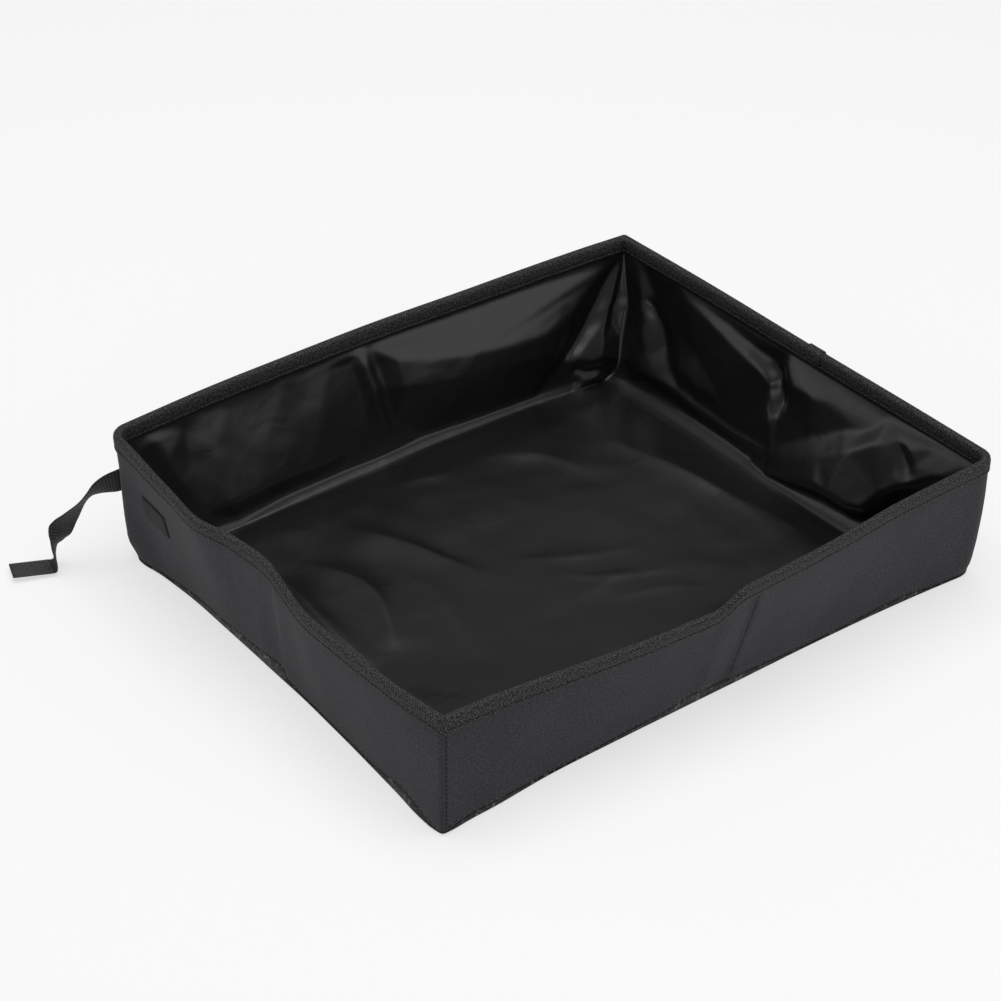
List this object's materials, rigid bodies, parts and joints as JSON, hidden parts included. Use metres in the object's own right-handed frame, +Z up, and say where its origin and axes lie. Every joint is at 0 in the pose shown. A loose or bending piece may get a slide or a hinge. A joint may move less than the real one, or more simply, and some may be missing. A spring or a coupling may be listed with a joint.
{
  "type": "foldable litter box",
  "caption": "Soft-walled tray that folds flat: board-stiffened cloth walls with bound rim, loose glossy liner, low entry corner and webbing closure strap.",
  "frame": {"origin": "centre of the flat underside of the base cloth", "axes": "+X along the long walls towards the rounded front right corner, +Y from the front wall to the back wall, +Z up out of the tray"},
  "size_m": [0.5866, 0.4746, 0.112],
  "materials": {
    "oxford_shell": "matt charcoal oxford weave",
    "base_cloth": "matt coated cloth, slightly wrinkled",
    "stiffener_board": "plain polyethylene board, hidden in the walls",
    "coated_liner": "glossy waterproof coating over thin cloth, black",
    "binding_tape": "black herringbone twill tape, stitched",
    "webbing": "ribbed black webbing",
    "hook_tape": "black hook tape",
    "loop_tape": "black loop tape"
  },
  "bodies": {
    "front_wall": {"base_cloth": "base_cloth", "liner_floor": "coated_liner", "front_shell": "oxford_shell", "front_base_edge": "base_cloth", "front_binding": "binding_tape", "front_left_board": "stiffener_board", "front_right_board": "stiffener_board", "front_liner": "coated_liner", "front_left_corner_seam": "oxford_shell"},
    "left_front": {"left_front_shell": "oxford_shell", "left_front_base_edge": "base_cloth", "left_front_binding": "binding_tape", "left_front_board": "stiffener_board", "left_front_liner": "coated_liner"},
    "left_back": {"left_back_shell": "oxford_shell", "left_back_base_edge": "base_cloth", "left_back_binding": "binding_tape", "left_back_board": "stiffener_board", "left_back_liner": "coated_liner", "loop_patch": "loop_tape"},
    "back_wall": {"back_shell": "oxford_shell", "back_base_edge": "base_cloth", "back_binding": "binding_tape", "back_left_board": "stiffener_board", "back_right_board": "stiffener_board", "back_liner": "coated_liner", "back_right_corner_seam": "oxford_shell", "strap_anchor": "webbing"},
    "right_front": {"right_front_shell": "oxford_shell", "right_front_base_edge": "base_cloth", "right_front_binding": "binding_tape", "right_front_board": "stiffener_board", "right_front_liner": "coated_liner"},
    "right_back": {"right_back_shell": "oxford_shell", "right_back_base_edge": "base_cloth", "right_back_binding": "binding_tape", "right_back_board": "stiffener_board", "right_back_liner": "coated_liner"},
    "strap": {"closure_strap": "webbing", "hook_tab": "hook_tape"}
  },
  "joints": [
    {"name": "left_front_fold", "type": "hinge", "parent": "front_wall", "child": "left_front", "pos_m": [-0.243, -0.203, 0], "axis": [0, 0, -1], "range_deg": [0, 90], "deforming": ["base_cloth", "liner_floor", "front_liner", "left_front_liner"]},
    {"name": "left_back_fold", "type": "hinge", "parent": "left_front", "child": "left_back", "pos_m": [-0.2516, 0, 0], "axis": [0, 0, 1], "range_deg": [0, 180], "deforming": ["left_back_liner"]},
    {"name": "back_wall_fold", "type": "hinge", "parent": "left_back", "child": "back_wall", "pos_m": [-0.243, 0.203, 0], "axis": [0, 0, -1], "range_deg": [0, 90], "deforming": ["back_liner"]},
    {"name": "right_front_fold", "type": "hinge", "parent": "front_wall", "child": "right_front", "pos_m": [0.243, -0.203, 0], "axis": [0, 0, 1], "range_deg": [0, 90], "deforming": ["right_front_liner"]},
    {"name": "right_back_fold", "type": "hinge", "parent": "right_front", "child": "right_back", "pos_m": [0.2516, 0, 0], "axis": [0, 0, -1], "range_deg": [0, 180], "deforming": ["right_back_liner"]},
    {"name": "strap_swing", "type": "hinge", "parent": "back_wall", "child": "strap", "pos_m": [-0.22, 0.2117, 0], "axis": [0, 0, -1], "range_deg": [0, 150]}
  ],
  "couplings": [
    {"joint": "left_back_fold", "follows": "left_front_fold", "ratio": 2},
    {"joint": "back_wall_fold", "follows": "left_front_fold", "ratio": 1},
    {"joint": "right_front_fold", "follows": "left_front_fold", "ratio": 1},
    {"joint": "right_back_fold", "follows": "left_front_fold", "ratio": 2}
  ]
}
